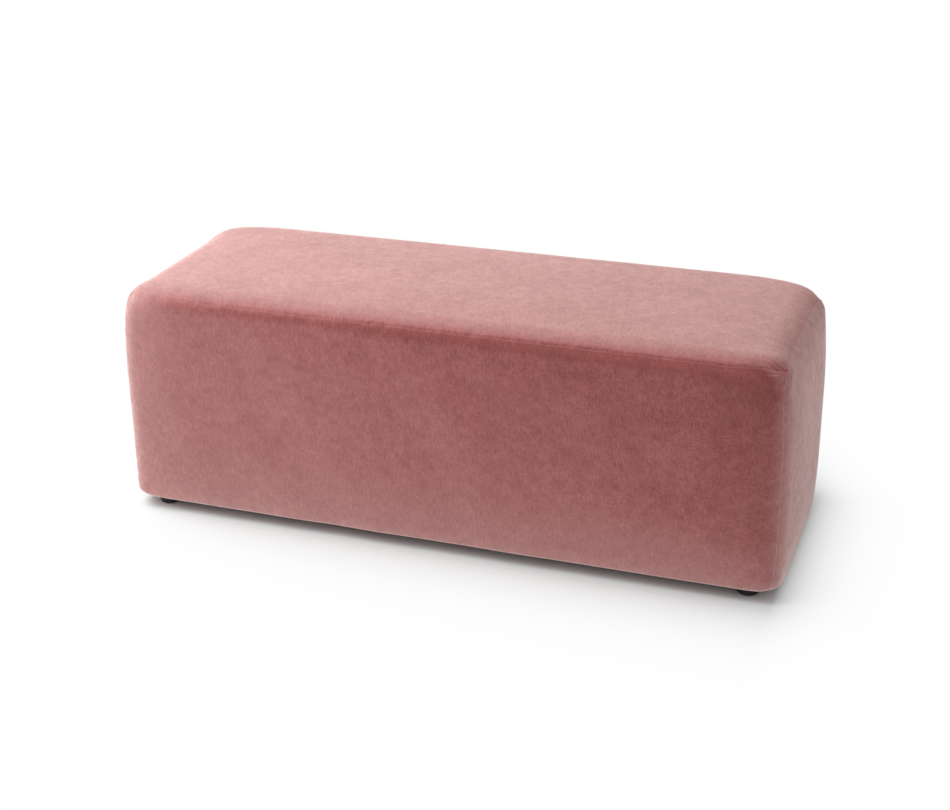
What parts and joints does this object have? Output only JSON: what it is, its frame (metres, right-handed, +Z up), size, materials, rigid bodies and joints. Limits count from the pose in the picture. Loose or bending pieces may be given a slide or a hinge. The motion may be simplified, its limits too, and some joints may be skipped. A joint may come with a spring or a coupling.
{
  "type": "long bench",
  "caption": "Long backless bench: a soft box seat in a sewn velvet cover with rounded edges, on a boarded timber frame and low round glides.",
  "frame": {"origin": "on the floor under the middle of the bench", "axes": "+X along the bench to the right seen from the front, +Y to the back, +Z up"},
  "size_m": [1.2, 0.43, 0.435],
  "materials": {
    "velvet": "dusty rose velvet, short pile",
    "wadding": "white polyester wadding",
    "foam": "cream open-cell upholstery foam",
    "plywood": "birch plywood, unfinished",
    "hardboard": "brown hardboard, smooth face out",
    "pine": "planed pine, unfinished",
    "dust_cloth": "black non-woven cloth, matt",
    "black_plastic": "black moulded plastic, satin",
    "zinc": "zinc-plated steel"
  },
  "bodies": {
    "root": {"cover_top": "velvet", "cover_front": "velvet", "cover_back": "velvet", "cover_left_end": "velvet", "cover_right_end": "velvet", "wadding_wrap": "wadding", "wadding_left_end": "wadding", "wadding_right_end": "wadding", "foam_seat": "foam", "foam_front": "foam", "foam_back": "foam", "foam_left_end": "foam", "foam_right_end": "foam", "deck_board": "plywood", "board_front": "hardboard", "board_back": "hardboard", "board_left_end": "hardboard", "board_right_end": "hardboard", "rail_top_front": "pine", "rail_top_back": "pine", "rail_bottom_front": "pine", "rail_bottom_back": "pine", "end_rail_top_left": "pine", "end_rail_top_right": "pine", "end_rail_bottom_left": "pine", "end_rail_bottom_right": "pine", "cross_rail_top": "pine", "cross_rail_bottom": "pine", "post_front_left": "pine", "post_front_middle": "pine", "post_front_right": "pine", "post_back_left": "pine", "post_back_middle": "pine", "post_back_right": "pine", "dust_cover": "dust_cloth", "glide_front_left": "black_plastic", "glide_front_right": "black_plastic", "glide_back_left": "black_plastic", "glide_back_right": "black_plastic", "glide_screws": "zinc", "post_screws": "zinc", "rail_screws": "zinc", "deck_screws": "zinc", "cover_staples": "zinc", "dust_staples": "zinc"}
  },
  "joints": []
}
